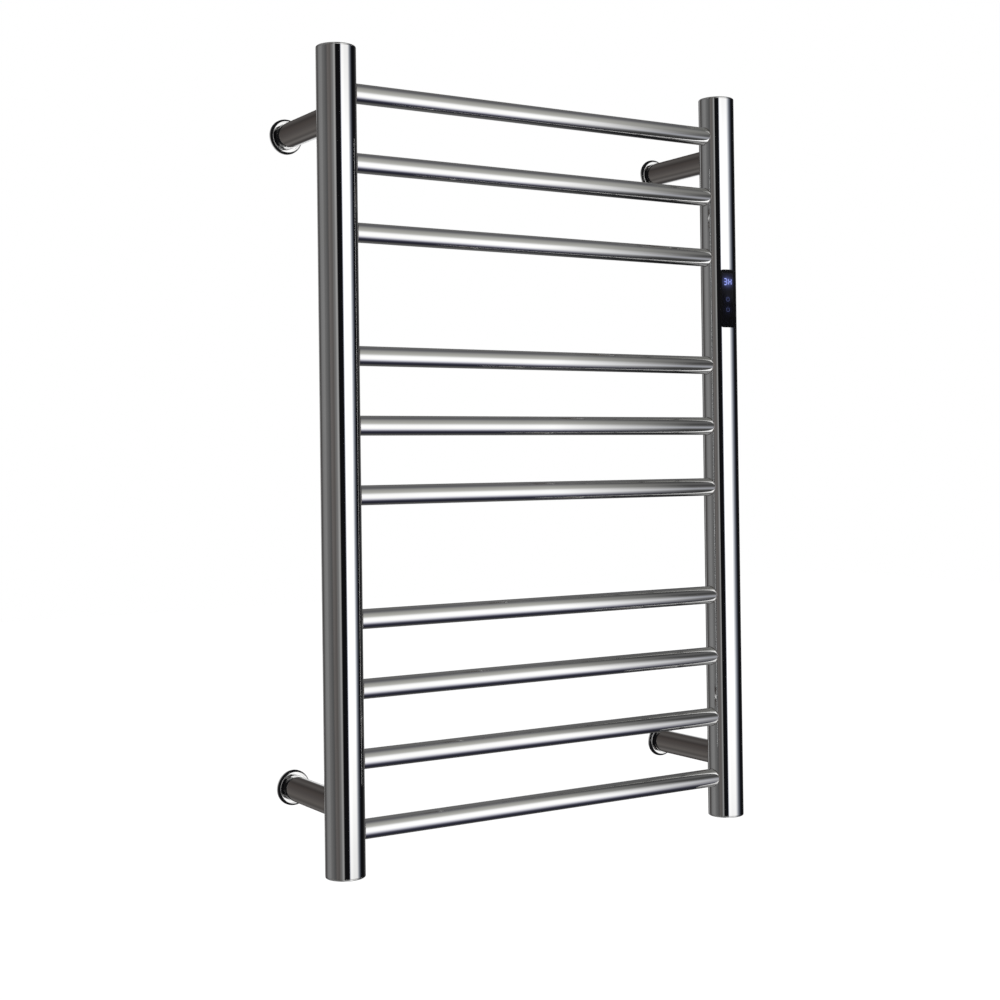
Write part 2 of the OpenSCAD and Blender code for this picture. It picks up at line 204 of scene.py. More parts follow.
def outward(obj):
    """Makes every closed shell's faces point outwards."""
    bm = bmesh.new()
    bm.from_mesh(obj.data)
    bmesh.ops.recalc_face_normals(bm, faces=bm.faces)
    bm.to_mesh(obj.data)
    bm.free()


def cut(obj, parts):
    """Cuts closed solids, given as (verts, faces), out of obj."""
    cutter = join_parts("cutter", parts)
    outward(cutter)
    outward(obj)
    modifier = obj.modifiers.new("cut", "BOOLEAN")
    modifier.solver = "EXACT"
    modifier.operation = "DIFFERENCE"
    modifier.object = cutter
    graph = bpy.context.evaluated_depsgraph_get()
    mesh = bpy.data.meshes.new_from_object(obj.evaluated_get(graph))
    obj.modifiers.clear()
    obj.data = mesh
    bpy.data.objects.remove(cutter)


def round_normals(obj, centre, axis, radii):
    """Gives faces on cylinders about the axis exact round normals, and the others flat ones."""
    tolerance = 0.02 * MM
    least_lean = 0.9
    mesh = obj.data
    axis = Vector(axis)
    centre = Vector(centre)
    mesh.polygons.foreach_set("use_smooth", [True] * len(mesh.polygons))

    def radial(point):
        offset = Vector(point) - centre
        return offset - axis * offset.dot(axis)

    normals = [Vector((0, 0, 0))] * len(mesh.loops)
    for face in mesh.polygons:
        corners = [radial(mesh.vertices[i].co) for i in face.vertices]
        lengths = [corner.length for corner in corners]
        lean = face.normal.dot(radial(face.center).normalized())
        on_tube = any(max(abs(length - r) for length in lengths) < tolerance for r in radii)
        for loop, corner in zip(face.loop_indices, corners):
            if on_tube and abs(lean) > least_lean:
                normals[loop] = corner.normalized() * math.copysign(1, lean)
            else:
                normals[loop] = face.normal.copy()
    mesh.normals_split_custom_set(normals)


def smooth_by_angle(obj, degrees=35):
    bm = bmesh.new()
    bm.from_mesh(obj.data)
    for face in bm.faces:
        face.smooth = True
    for edge in bm.edges:
        if len(edge.link_faces) == 2:
            edge.smooth = edge.calc_face_angle(0) < math.radians(degrees)
    bm.to_mesh(obj.data)
    bm.free()


def lathe(name, centre, axis, profile, segments=TUBE_SEGMENTS):
    """Turns a profile of (radius, height) points about an axis.

    A profile that starts on the axis also ends there; any other is closed into a ring.
    """
    verts = []
    rows = []
    for radius, along in profile:
        base = Vector(centre) + Vector(axis) * along
        if radius == 0:
            rows.append([len(verts)] * segments)
            verts.append(base)
        else:
            rows.append(list(range(len(verts), len(verts) + segments)))
            verts += circle(base, axis, radius, segments)
    if profile[0][0] != 0:
        rows.append(rows[0])
    faces = []
    for lower, upper in zip(rows, rows[1:]):
        for i in range(segments):
            j = (i + 1) % segments
            corners = []
            for index in (lower[i], lower[j], upper[j], upper[i]):
                if index not in corners:
                    corners.append(index)
            faces.append(tuple(corners))
    obj = add_object(name, verts, faces)
    outward(obj)
    smooth_by_angle(obj)
    return obj


def arc(cx, cy, radius, start, end, steps):
    """Points of an arc from start to end degrees, for a profile."""
    points = []
    for i in range(steps + 1):
        a = math.radians(start + (end - start) * i / steps)
        points.append((cx + radius * math.cos(a), cy + radius * math.sin(a)))
    return points


def bead(name, centre_line, radius, ripples):
    """A closed weld bead along a closed line of points, with small ripples."""
    section = 10
    ripple_depth = 0.1
    count = len(centre_line)
    centre = sum(centre_line, Vector()) / count
    rings = []
    for i, point in enumerate(centre_line):
        along = (centre_line[(i + 1) % count] - centre_line[i - 1]).normalized()
        out = point - centre
        out = (out - along * out.dot(along)).normalized()
        up = along.cross(out)
        swell = radius * (1 + ripple_depth * math.sin(TURN * ripples * i / count))
        ring = []
        for k in range(section):
            a = TURN * k / section
            ring.append(point + (out * math.cos(a) + up * math.sin(a)) * swell)
        rings.append(ring)
    obj = ring_mesh(name, rings)
    outward(obj)
    obj.data.polygons.foreach_set("use_smooth", [True] * len(obj.data.polygons))
    return obj


# ---- Node material helpers ----

def linear(value):
    """Linear light of an sRGB grey level from 0 to 255."""
    value /= 255
    return value / 12.92 if value <= 0.04045 else ((value + 0.055) / 1.055) ** 2.4


class Shader:
    """A material's node tree, with short calls for the nodes that the materials share."""

    def __init__(self, name):
        self.material = bpy.data.materials.new(name)
        self.material.use_nodes = True
        self.nodes = self.material.node_tree.nodes
        self.links = self.material.node_tree.links
        self.surface = self.nodes["Principled BSDF"]
        self.place = self.nodes.new("ShaderNodeNewGeometry").outputs["Position"]

    def set(self, **values):
        for name, value in values.items():
            self.surface.inputs[name.replace("_", " ")].default_value = value

    def feed(self, name, output):
        self.links.new(output, self.surface.inputs[name])

    def moved(self, operation, vector):
        """The place on the surface after a vector operation, MULTIPLY or SUBTRACT."""
        node = self.nodes.new("ShaderNodeVectorMath")
        node.operation = operation
        self.links.new(self.place, node.inputs[0])
        node.inputs[1].default_value = vector
        return node.outputs[0]

    def noise(self, scale, detail=3.0, stretch=(1, 1, 1)):
        node = self.nodes.new("ShaderNodeTexNoise")
        self.links.new(self.moved("MULTIPLY", stretch), node.inputs["Vector"])
        node.inputs["Scale"].default_value = scale
        node.inputs["Detail"].default_value = detail
        return node.outputs["Fac"]

    def ramp(self, source, stops, smooth=True):
        node = self.nodes.new("ShaderNodeValToRGB")
        self.links.new(source, node.inputs["Fac"])
        ramp = node.color_ramp
        ramp.interpolation = "EASE" if smooth else "LINEAR"
        while len(ramp.elements) < len(stops):
            ramp.elements.new(0.5)
        for element, (position, _) in zip(ramp.elements, stops):
            element.position = position
        for element, (_, colour) in zip(ramp.elements, stops):
            element.color = (*colour, 1)
        return node.outputs["Color"]

    def shade(self, cloud, dark, light, low=0.3, high=0.7):
        """Base colour from dark to light, by a noise between low and high."""
        self.feed("Base Color", self.ramp(cloud, [(low, dark), (high, light)]))

    def remap(self, source, low, high, to_low, to_high):
        node = self.nodes.new("ShaderNodeMapRange")
        self.links.new(source, node.inputs["Value"])
        for name, value in zip(("From Min", "From Max", "To Min", "To Max"),
                               (low, high, to_low, to_high)):
            node.inputs[name].default_value = value
        return node.outputs["Result"]

    def math(self, operation, first, second=None):
        node = self.nodes.new("ShaderNodeMath")
        node.operation = operation
        for socket, value in zip(node.inputs, (first, second)):
            if value is None:
                continue
            if isinstance(value, (int, float)):
                socket.default_value = value
            else:
                self.links.new(value, socket)
        return node.outputs[0]

    def mix(self, factor, first, second, blend="MIX"):
        node = self.nodes.new("ShaderNodeMix")
        node.data_type = "RGBA"
        node.blend_type = blend
        colours = [socket for socket in node.inputs if socket.type == "RGBA"]
        sockets = (node.inputs["Factor"], colours[0], colours[1])
        for socket, value in zip(sockets, (factor, first, second)):
            if isinstance(value, tuple):
                socket.default_value = (*value, 1)
            elif isinstance(value, (int, float)):
                socket.default_value = value
            else:
                self.links.new(value, socket)
        return next(socket for socket in node.outputs if socket.type == "RGBA")

    def bump(self, height, strength, distance):
        node = self.nodes.new("ShaderNodeBump")
        node.inputs["Strength"].default_value = strength
        node.inputs["Distance"].default_value = distance
        self.links.new(height, node.inputs["Height"])
        self.links.new(node.outputs["Normal"], self.surface.inputs["Normal"])

    def split(self, source):
        node = self.nodes.new("ShaderNodeSeparateXYZ")
        self.links.new(source, node.inputs[0])
        return node.outputs


def polished_steel(name, stretch):
    """Mirror polished stainless steel; stretch lays the fine polishing lines along a tube."""
    look = Shader(name)
    cloud = look.noise(9, 4)
    lines = look.noise(900, 2, stretch)
    look.set(Metallic=1.0)
    look.shade(cloud, (0.865, 0.862, 0.855), (0.905, 0.905, 0.9))
    look.feed("Roughness", look.remap(look.math("ADD", cloud, lines), 0.6, 1.4, 0.022, 0.06))
    look.bump(lines, 0.003, 0.02 * MM)
    return look.material


STEEL_UPRIGHT = polished_steel("polished_steel_upright", (1, 1, 0.02))
STEEL_ACROSS = polished_steel("polished_steel_across", (0.02, 1, 1))
STEEL_BACK = polished_steel("polished_steel_back", (1, 0.02, 1))
STEEL_TURNED = polished_steel("polished_steel_turned", (1, 1, 1))


def weld_steel_painted_shade():
    look = Shader("weld_steel_painted_shade")
    cloud = look.noise(160, 4)
    look.set(Metallic=1.0)
    # Tones far darker than the steel round them: partly the weld's own rough finish, partly painted
    # shade for the thin dark line round each joint
    look.shade(cloud, (0.26, 0.235, 0.21), (0.42, 0.41, 0.42), 0.35, 0.65)
    look.feed("Roughness", look.remap(cloud, 0.3, 0.7, 0.24, 0.42))
    look.bump(look.noise(1400, 2), 0.2, 0.05 * MM)
    return look.material


WELD_PAINTED_SHADE = weld_steel_painted_shade()


def moulded(name, dark, light, roughness, grain, speckle=500.0, **values):
    """A plain solid material: two shades, uneven roughness and a fine grain."""
    look = Shader(name)
    cloud = look.noise(speckle, 3)
    look.set(**values)
    look.shade(cloud, dark, light)
    look.feed("Roughness", look.remap(cloud, 0.3, 0.7, roughness[0], roughness[1]))
    look.bump(look.noise(speckle * 6, 2), grain, 0.05 * MM)
    return look.material


def turned_steel():
    look = Shader("turned_steel")
    lines = look.noise(2500, 2, (1, 0.15, 1))
    look.set(Metallic=1.0)
    look.shade(look.noise(60, 3), (0.42, 0.42, 0.43), (0.6, 0.6, 0.6))
    look.feed("Roughness", look.remap(lines, 0.3, 0.7, 0.2, 0.38))
    look.bump(lines, 0.15, 0.05 * MM)
    return look.material


# Materials of the CAD nodes that stay, by their slot
INNER = {
    "plain_steel": turned_steel(),
    "black_rubber": moulded("black_rubber", (0.012, 0.012, 0.012), (0.03, 0.03, 0.03),
                            (0.55, 0.75), 0.3),
    "silicone_cable": moulded("silicone_cable", (0.32, 0.05, 0.035), (0.45, 0.09, 0.06),
                              (0.4, 0.55), 0.15),
    "wire_sheath": moulded("wire_sheath", (0.42, 0.42, 0.43), (0.55, 0.55, 0.56),
                           (0.4, 0.55), 0.15),
    "earth_wire": moulded("earth_wire", (0.12, 0.36, 0.05), (0.62, 0.6, 0.06),
                          (0.35, 0.5), 0.1, 90.0),
    "brass": moulded("brass", (0.62, 0.45, 0.17), (0.78, 0.6, 0.28), (0.22, 0.4), 0.12,
                     300.0, Metallic=1.0),
    "white_plastic": moulded("white_plastic", (0.72, 0.72, 0.69), (0.82, 0.82, 0.8),
                             (0.38, 0.5), 0.12),
    "circuit_board": moulded("circuit_board", (0.015, 0.11, 0.045), (0.04, 0.22, 0.09),
                             (0.25, 0.5), 0.3, 900.0),
    "display_light": moulded("display_filter", (0.02, 0.022, 0.05), (0.05, 0.055, 0.11),
                             (0.3, 0.4), 0.05),
    "icon_light": moulded("icon_guide", (0.3, 0.36, 0.7), (0.5, 0.56, 0.9), (0.3, 0.45), 0.1),
    "blue_plastic": moulded("blue_plastic", (0.03, 0.08, 0.36), (0.06, 0.13, 0.5),
                            (0.35, 0.5), 0.12),
    "yellow_plastic": moulded("yellow_plastic", (0.6, 0.43, 0.04), (0.75, 0.58, 0.1),
                              (0.35, 0.5), 0.15),
    "green_plastic": moulded("green_plastic", (0.03, 0.24, 0.07), (0.06, 0.36, 0.11),
                             (0.38, 0.5), 0.12),
}


def black_bezel():
    look = Shader("black_bezel")
    cloud = look.noise(350, 3)
    look.set(Coat_Weight=0.6, Coat_Roughness=0.04, IOR=1.5)
    look.shade(cloud, (0.004, 0.004, 0.005), (0.009, 0.009, 0.011))
    look.feed("Roughness", look.remap(cloud, 0.3, 0.7, 0.12, 0.2))
    look.bump(look.noise(2600, 2), 0.04, 0.03 * MM)
    return look.material


BEZEL = black_bezel()

# Heights of the lit marks above the middle of the panel
DIGITS_RISE = 18.6 * MM
TIMER_RISE = -0.4 * MM
POWER_RISE = -11.6 * MM


def lens_glass():
    """Black touch lens, with a painted faint blue glow round the lit marks, standing in for light
    from the display spreading into it.
    """
    look = Shader("black_lens")
    cloud = look.noise(220, 3)
    look.set(Coat_Weight=1.0, Coat_Roughness=0.02, IOR=1.5)
    x, _, z = look.split(look.moved("SUBTRACT", (PANEL.x, PANEL_FACE_Y, PANEL.z)))

    def glow(rise, half_width, half_height, strength):
        across = look.math("DIVIDE", x, half_width)
        up = look.math("DIVIDE", look.math("SUBTRACT", z, rise), half_height)
        spread = look.math("ADD", look.math("MULTIPLY", across, across),
                           look.math("MULTIPLY", up, up))
        falloff = look.math("POWER", math.e, look.math("MULTIPLY", spread, -1.0))
        return look.math("MULTIPLY", falloff, strength)

    # Painted glow: emission on the lens that fades with distance from the digits and the two icons
    light = glow(DIGITS_RISE, 5.6 * MM, 4.4 * MM, 0.27)
    light = look.math("ADD", light, glow(DIGITS_RISE, 9 * MM, 9 * MM, 0.014))
    for rise in (TIMER_RISE, POWER_RISE):
        light = look.math("ADD", light, glow(rise, 3.6 * MM, 3.6 * MM, 0.022))
    look.shade(cloud, (0.004, 0.004, 0.007), (0.008, 0.008, 0.013))
    look.feed("Roughness", look.remap(cloud, 0.3, 0.7, 0.03, 0.07))
    look.feed("Emission Color", look.mix(light, (0.0, 0.0, 0.0), (0.30, 0.36, 1.0)))
    look.set(Emission_Strength=1.0)
    return look.material


LENS = lens_glass()


def lit(name, core, edge, strength):
    """A lit mark: its light is a little uneven, as through a diffusing film."""
    look = Shader(name)
    cloud = look.noise(700, 2)
    look.set(Roughness=0.3, Emission_Strength=strength)
    look.shade(cloud, (0.02, 0.02, 0.04), (0.03, 0.03, 0.06))
    look.feed("Emission Color", look.ramp(cloud, [(0.3, edge), (0.7, core)]))
    return look.material


DIGIT_LIGHT = lit("digit_light", (0.40, 0.48, 1.0), (0.27, 0.33, 0.92), 0.95)
ICON_LIGHT = lit("icon_light", (0.055, 0.068, 0.17), (0.04, 0.05, 0.13), 1.0)


# ---- Pieces ----

# Which pieces each set of studio lights falls on
LIT = {"posts": [], "bars": [], "standoffs": [], "rosettes": [], "panel": []}


def settle(obj, material, body="body", replaced=(), group="posts"):
    """Gives a piece its material, body, the CAD nodes it replaces, and its lights."""
    obj.data.materials.clear()
    obj.data.materials.append(material)
    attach(obj, body)
    if replaced:
        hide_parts(*replaced)
    LIT[group].append(obj)


def add_weld(name, line, radius, ripples):
    # The bead's dark material is partly painted shade, for the dark line round the joint
    settle(bead(name, line, radius, ripples), WELD_PAINTED_SHADE)


def coped_ring(start, axis, radius, segments=TUBE_SEGMENTS, proud=0.0):
    """The ring where a level tube meets the surface of its post.

    start is where the middle lines of tube and post cross, and axis leads away from there.
    """
    across = Vector((abs(axis.y), abs(axis.x), 0))
    ring = []
    for i in range(segments):
        a = TURN * i / segments
        level = radius * math.cos(a)
        reach = math.sqrt(POST_R ** 2 - level ** 2) + proud
        ring.append(Vector((start.x + axis.x * reach + across.x * level,
                            start.y + axis.y * reach + across.y * level,
                            start.z + radius * math.sin(a))))
    return ring


def make_post(side):
    """A post tube with its wire holes; the right one is cut out for the control panel."""
    low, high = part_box(side + "_post")
    post = POST[side]
    inner_r = POST_R - POST_WALL
    rings = []
    for z, radius in ((low.z, POST_R), (high.z, POST_R), (high.z, inner_r), (low.z, inner_r)):
        rings.append(circle((post.x, post.y, z), UP, radius, POST_SEGMENTS))
    obj = ring_mesh(side + "_post_tube", rings)
    parts = []
    for bar in BARS:
        centre = (post.x, post.y, middle(bar).z)
        parts.append(rod_parts(centre, INWARD[side], BAR_HOLE_R, POST_DRILL))
    for corner in CORNERS:
        if corner.endswith(side):
            centre = (post.x, post.y, middle("standoff_" + corner).z)
            parts.append(rod_parts(centre, TO_WALL, STANDOFF_HOLE_R, POST_DRILL))
    if side == "right":
        corner_r = 3 * MM
        depth = 4.1 * MM
        clear = 5 * MM
        bezel = size("control_bezel")
        outline = rounded_outline(bezel.x + 2 * PANEL_GAP, bezel.z + 2 * PANEL_GAP, corner_r)
        parts.append(slab_parts(PANEL, outline, low.y - clear, PANEL_FACE_Y + depth))
    cut(obj, parts)
    round_normals(obj, post, UP, (POST_R, inner_r))
    settle(obj, STEEL_UPRIGHT, replaced=[side + "_post"])


def make_cap(side, up):
    """A welded end cap with a rounded rim, a chamfered seam and a spigot in the tube."""
    node = "%s_%s_cap" % (side, "top" if up else "bottom")
    low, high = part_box(node)
    post_low, post_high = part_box(side + "_post")
    thick = (high.z - post_high.z) if up else (post_low.z - low.z)
    length = high.z - low.z
    end_z = high.z if up else low.z
    outer = UP if up else -UP
    rim = 1.2 * MM
    seam_down = 0.5 * MM
    seam_in = 0.4 * MM
    spigot_r = POST_R - POST_WALL - SPIGOT_GAP
    spigot_chamfer = 0.4 * MM
    profile = [(0, 0), (POST_R - rim, 0)]
    profile += [(r, -h) for r, h in arc(POST_R - rim, rim, rim, -90, 0, 8)][1:]
    profile += [(POST_R, -thick + seam_down), (POST_R - seam_in, -thick), (spigot_r, -thick),
                (spigot_r, -length + spigot_chamfer), (spigot_r - spigot_chamfer, -length),
                (0, -length)]
    centre = Vector((POST[side].x, POST[side].y, end_z))
    obj = lathe(node + "_piece", centre, outer, profile, POST_SEGMENTS)
    settle(obj, STEEL_TURNED, replaced=[node])
    weld_rise = 0.16 * MM
    weld_inset = 0.36 * MM
    seam = centre - outer * (thick - weld_rise)
    line = circle(seam, UP, POST_R - weld_inset, POST_SEGMENTS)
    add_weld(node + "_weld", line, 0.2 * MM, 64)


def make_bar(node):
    """A bar with both ends coped to the posts."""
    place = middle(node)
    starts = {side: Vector((POST[side].x, place.y, place.z)) for side in SIDES}
    inner_r = BAR_R - BAR_WALL
    rings = []
    for side, radius in (("left", BAR_R), ("right", BAR_R), ("right", inner_r), ("left", inner_r)):
        rings.append(coped_ring(starts[side], INWARD[side], radius))
    obj = ring_mesh(node + "_tube", rings)
    outward(obj)
    round_normals(obj, place, (1, 0, 0), (BAR_R, inner_r))
    settle(obj, STEEL_ACROSS, replaced=[node], group="bars")
    # Kept out of reflections, so that bars don't mirror each other
    obj.visible_glossy = False
    for side in SIDES:
        line = coped_ring(starts[side], INWARD[side], BAR_R, proud=WELD_PROUD)
        add_weld("%s_%s_weld" % (node, side), line, 0.45 * MM, 34)


def make_standoff(corner):
    """A standoff, coped to the post, with the radial hole for its grub screw."""
    node = "standoff_" + corner
    wall_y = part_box(node)[1].y
    place = middle(node)
    start = Vector((place.x, POST[corner.split("_")[1]].y, place.z))
    inner_r = STANDOFF_R - STANDOFF_WALL
    outer, inner = (coped_ring(start, TO_WALL, radius) for radius in (STANDOFF_R, inner_r))
    outer_end, inner_end = ([Vector((point.x, wall_y, point.z)) for point in ring]
                            for ring in (outer, inner))
    obj = ring_mesh(node + "_tube", [outer, outer_end, inner_end, inner])
    centre = (place.x, wall_y - GRUB_INSET, place.z)
    cut(obj, [rod_parts(centre, -UP, GRUB_R, STANDOFF_DRILL)])
    round_normals(obj, place, TO_WALL, (STANDOFF_R, inner_r))
    settle(obj, STEEL_BACK, replaced=[node], group="standoffs")
    line = coped_ring(start, TO_WALL, STANDOFF_R, 144, WELD_PROUD)
    add_weld(node + "_weld", line, 0.5 * MM, 42)


def make_rosette(corner):
    """A turned rosette: rounded rim, flat land, and a step and O-ring groove in its bore."""
    node = "rosette_" + corner
    low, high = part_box(node)
    thick = high.y - low.y
    rim_r = (high.x - low.x) / 2
    back_chamfer = 0.3 * MM
    round_in = 2.5 * MM
    round_down = 3.6 * MM
    bore = STANDOFF_R + ROSETTE_GAP
    step_r = 14.4 * MM
    step_draft = 0.1 * MM
    step = thick - 0.7 * MM
    groove_r = bore + 1.3 * MM
    groove_low = 1.2 * MM
    groove_high = 3.4 * MM
    profile = [(bore, 0), (rim_r - back_chamfer, 0), (rim_r, back_chamfer)]
    profile += [(rim_r - round_in * (1 - r), thick - round_down * (1 - h))
                for r, h in arc(0, 0, 1, 0, 90, 12)]
    profile += [(step_r, thick), (step_r - step_draft, step), (bore, step),
                (bore, groove_high), (groove_r, groove_high), (groove_r, groove_low),
                (bore, groove_low)]
    place = middle(node)
    obj = lathe(node + "_piece", (place.x, high.y, place.z), -TO_WALL, profile)
    settle(obj, STEEL_TURNED, "sleeve_" + corner, [node], "rosettes")


for side in SIDES:
    make_post(side)
    make_cap(side, True)
    make_cap(side, False)
for node in BARS:
    make_bar(node)
for corner in CORNERS:
    make_standoff(corner)
    make_rosette(corner)


# ---- Control panel ----

def make_lens():
    """The touch lens, with a fine crowned bevel round its front edge."""
    low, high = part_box("touch_lens")
    width = high.x - low.x
    height = high.z - low.z
    corner = 1.2 * MM
    bevel = 0.25 * MM
    crown = 0.3 * bevel
    rings = []
    for inset, y in ((0, high.y), (0, low.y + bevel), (crown, low.y + crown), (bevel, low.y)):
        outline = rounded_outline(width - 2 * inset, height - 2 * inset, corner - inset)
        rings.append(outline_ring(PANEL, outline, y))
    obj = join_parts("touch_lens_plate", [stack_parts(rings)])
    outward(obj)
    smooth_by_angle(obj, 30)
    settle(obj, LENS, replaced=["touch_lens"], group="panel")


MARK_FRONT_Y = PANEL_FACE_Y - 0.04 * MM
DIGIT_W = 4.8 * MM
DIGIT_H = 7.6 * MM
DIGIT_STROKE = 1.15 * MM
DIGIT_PITCH = 6.2 * MM
ICON_R = 2.5 * MM
ICON_STROKE = 0.5 * MM

# Lit strokes of each digit: a, g and d from the top down, b and c right, f and e left
SEGMENTS_OF = {"3": "abcdg", "H": "bcefg"}


def segment_outline(segment):
    """One stroke of a seven-segment digit as a six-cornered bar, as (x, z) points."""
    half = DIGIT_STROKE / 2
    gap = 0.12 * DIGIT_STROKE
    rows = {"a": DIGIT_H / 2 - half, "g": 0.0, "d": -DIGIT_H / 2 + half}
    if segment in rows:
        z = rows[segment]
        x = DIGIT_W / 2 - half - gap
        return [(-x, z), (-x + half, z + half), (x - half, z + half), (x, z),
                (x - half, z - half), (-x + half, z - half)]
    x = (DIGIT_W / 2 - half) * (1 if segment in "bc" else -1)
    upper = segment in "bf"
    top = (DIGIT_H / 2 - half if upper else 0.0) - gap
    bottom = (0.0 if upper else -DIGIT_H / 2 + half) + gap
    return [(x, top), (x + half, top - half), (x + half, bottom + half), (x, bottom),
            (x - half, bottom + half), (x - half, top - half)]


def mark_parts(outline, x, rise):
    centre = Vector((PANEL.x + x, 0, PANEL.z + rise))
    return slab_parts(centre, outline, MARK_FRONT_Y, PANEL_FACE_Y)


def make_digits():
    parts = []
    for text, x in (("3", -DIGIT_PITCH / 2), ("H", DIGIT_PITCH / 2)):
        for segment in SEGMENTS_OF[text]:
            parts.append(mark_parts(segment_outline(segment), x, DIGITS_RISE))
    obj = join_parts("lit_digits", parts)
    outward(obj)
    settle(obj, DIGIT_LIGHT, group="panel")


def icon_ring(rise, start, end, steps=40):
    """An icon's flat ring, open or closed, as (verts, faces), from start to end degrees."""
    closed = end - start >= 360
    count = steps if closed else steps + 1
    verts = []
    for i in range(count):
        a = math.radians(start + (end - start) * i / steps)
        for radius in (ICON_R, ICON_R - ICON_STROKE):
            for y in (MARK_FRONT_Y, PANEL_FACE_Y):
                verts.append(Vector((PANEL.x + radius * math.cos(a), y,
                                     PANEL.z + rise + radius * math.sin(a))))
    faces = []
    for i in range(steps):
        a = 4 * i
        b = 4 * ((i + 1) % count)
        for p, q in ((0, 1), (1, 3), (3, 2), (2, 0)):
            faces.append((a + p, a + q, b + q, b + p))
    if not closed:
        last = 4 * steps
        faces.append((0, 1, 3, 2))
        faces.append((last, last + 2, last + 3, last + 1))
    return verts, faces


def icon_stroke(rise, low, high):
    """An icon's upright stroke, from low to high above the middle of its ring."""
    half = ICON_STROKE / 2
    return mark_parts([(-half, low), (half, low), (half, high), (-half, high)], 0, rise)


def make_icon(name, parts):
    obj = join_parts(name, parts)
    outward(obj)
    settle(obj, ICON_LIGHT, group="panel")


make_lens()
make_digits()
make_icon("timer_mark", [icon_ring(TIMER_RISE, 0, 360),
                         icon_stroke(TIMER_RISE, 0.1 * MM, 1.5 * MM)])
make_icon("power_mark", [icon_ring(POWER_RISE, 125, 415),
                         icon_stroke(POWER_RISE, 0.6 * MM, 2.8 * MM)])


# ---- CAD nodes that stay, with their materials ----

slot_of = {part["node"]: part["material_slot"] for part in frame["record"]["subparts"]}
replaced_nodes = {"touch_lens"} | {n for n in frame["nodes"] if slot_of[n] == "polished_steel"}
for name, node in frame["nodes"].items():
    if name in replaced_nodes:
        continue
    node.data.materials.clear()
    if name == "control_bezel":
        node.data.materials.append(BEZEL)
        LIT["panel"].append(node)
    else:
        # All others are inside tubes and rosettes, and are kept out of reflections too
        node.data.materials.append(INNER[slot_of[name]])
        node.visible_glossy = False
        LIT["posts"].append(node)


# ---- Studio ----

RACK_Y = POST["left"].y


def world():
    """White behind the rack as the camera sees it, and dark for everything else."""
    studio = bpy.data.worlds.new("studio")
    bpy.context.scene.world = studio
    studio.use_nodes = True
    nodes = studio.node_tree.nodes
    links = studio.node_tree.links
    nodes.clear()
    out = nodes.new("ShaderNodeOutputWorld")
    mix = nodes.new("ShaderNodeMixShader")
    path = nodes.new("ShaderNodeLightPath")
    seen = nodes.new("ShaderNodeBackground")
    seen.inputs["Color"].default_value = (1, 1, 1, 1)
    around = nodes.new("ShaderNodeBackground")
    around.inputs["Color"].default_value = (0.004, 0.004, 0.005, 1)
    links.new(path.outputs["Is Camera Ray"], mix.inputs["Fac"])
    links.new(around.outputs[0], mix.inputs[1])
    links.new(seen.outputs[0], mix.inputs[2])
    links.new(mix.outputs[0], out.inputs["Surface"])


class Veil(Shader):
    """A glowing, see-through sheet: the studio's reflectors are made of these."""

    def __init__(self, name):
        super().__init__(name)
        self.nodes.remove(self.surface)
        self.emission = self.nodes.new("ShaderNodeEmission")
        clear = self.nodes.new("ShaderNodeBsdfTransparent")
        both = self.nodes.new("ShaderNodeAddShader")
        self.links.new(self.emission.outputs[0], both.inputs[0])
        self.links.new(clear.outputs[0], both.inputs[1])
        out = self.nodes["Material Output"]
        self.links.new(both.outputs[0], out.inputs["Surface"])
        self.material.cycles.emission_sampling = "NONE"

    def glow(self, colour, strength=1.0):
        self.links.new(colour, self.emission.inputs["Color"])
        self.emission.inputs["Strength"].default_value = strength

    def angle(self, side, start):
        """Angle from start round toward side, from 0 to 1, with 0.5 at start itself."""
        turned = self.math("ARCTAN2", side, start)
        return self.math("ADD", self.math("DIVIDE", turned, TURN), 0.5)

    def lean(self, x, y, toward):
        """How far the direction (x, y) leans toward a level direction, from -1 to 1."""
        return self.math("ADD", self.math("MULTIPLY", x, toward[0]),
                         self.math("MULTIPLY", y, toward[1]))

    def band(self, value, stops):
        """Greys by a value that runs from -1 to 1."""
        return self.ramp(self.remap(value, -1.0, 1.0, 0.0, 1.0), greys(stops, 2.0, -1.0), False)


def greys(stops, span=360.0, start=-180.0):
    """Ramp stops from (place, level), where the places run over span from start.

    A level is the sRGB grey, or red, green and blue, that polished steel shows there.
    """
    steel_reflects = 0.88
    out = []
    for place, level in stops:
        levels = level if isinstance(level, tuple) else (level, level, level)
        colour = tuple(linear(value) / steel_reflects for value in levels)
        out.append(((place - start) / span, colour))
    return out


def stage_veil(name, verts, faces, veil):
    obj = add_object(name, verts, faces)
    obj.data.materials.append(veil.material)
    obj.visible_camera = False
    obj.visible_shadow = False
    return obj


def stage_dome(name, radius, veil, rows=24, columns=48):
    """A whole sphere of veil round the middle of the rack."""
    verts = [Vector((0, RACK_Y, -radius)), Vector((0, RACK_Y, radius))]
    for row in range(1, rows):
        tilt = math.pi * (row / rows - 0.5)
        for column in range(columns):
            a = TURN * column / columns
            verts.append(Vector((radius * math.cos(tilt) * math.cos(a),
                                 RACK_Y + radius * math.cos(tilt) * math.sin(a),
                                 radius * math.sin(tilt))))
    faces = []
    for row in range(rows - 2):
        for column in range(columns):
            a = 2 + row * columns + column
            b = 2 + row * columns + (column + 1) % columns
            faces.append((a, b, b + columns, a + columns))
    top = 2 + (rows - 2) * columns
    for column in range(columns):
        following = (column + 1) % columns
        faces.append((0, 2 + following, 2 + column))
        faces.append((1, top + column, top + following))
    return stage_veil(name, verts, faces, veil)


def from_rack(veil):
    """Direction from the middle of the rack to a point of the veil, as its x, y and z."""
    unit = veil.nodes.new("ShaderNodeVectorMath")
    unit.operation = "NORMALIZE"
    veil.links.new(veil.moved("SUBTRACT", (0, RACK_Y, 0)), unit.inputs[0])
    return veil.split(unit.outputs[0])


